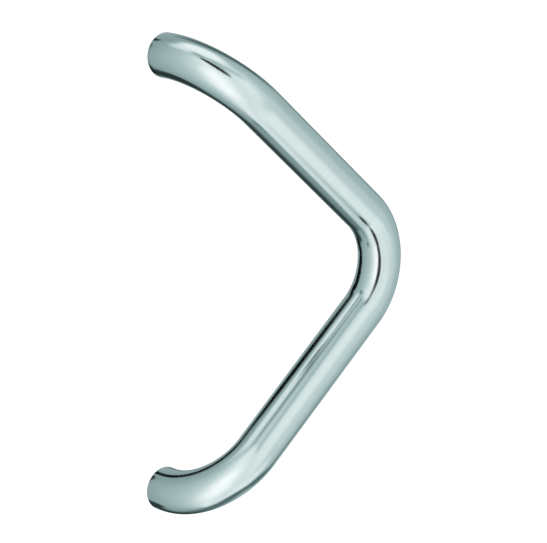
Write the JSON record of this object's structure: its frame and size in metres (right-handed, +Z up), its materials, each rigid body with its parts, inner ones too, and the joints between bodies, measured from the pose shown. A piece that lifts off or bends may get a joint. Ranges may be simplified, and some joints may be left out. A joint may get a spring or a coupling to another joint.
{
  "type": "cabinet door handle",
  "caption": "V-shaped cabinet door handle bent from round satin steel bar, with feet tapped for screws from behind the door and room for fingers behind the bar.",
  "frame": {"origin": "on the door's face, midway between the two fixing holes", "axes": "+Z up, from the lower foot to the upper one; +X from the feet towards the apex of the V; +Y into the door, so the handle stands out towards -Y"},
  "size_m": [0.0962, 0.037, 0.176],
  "materials": {
    "satin_steel": "satin, finely polished in faint lines round the bar"
  },
  "bodies": {
    "root": {"handle_bar": "satin_steel"}
  },
  "joints": []
}
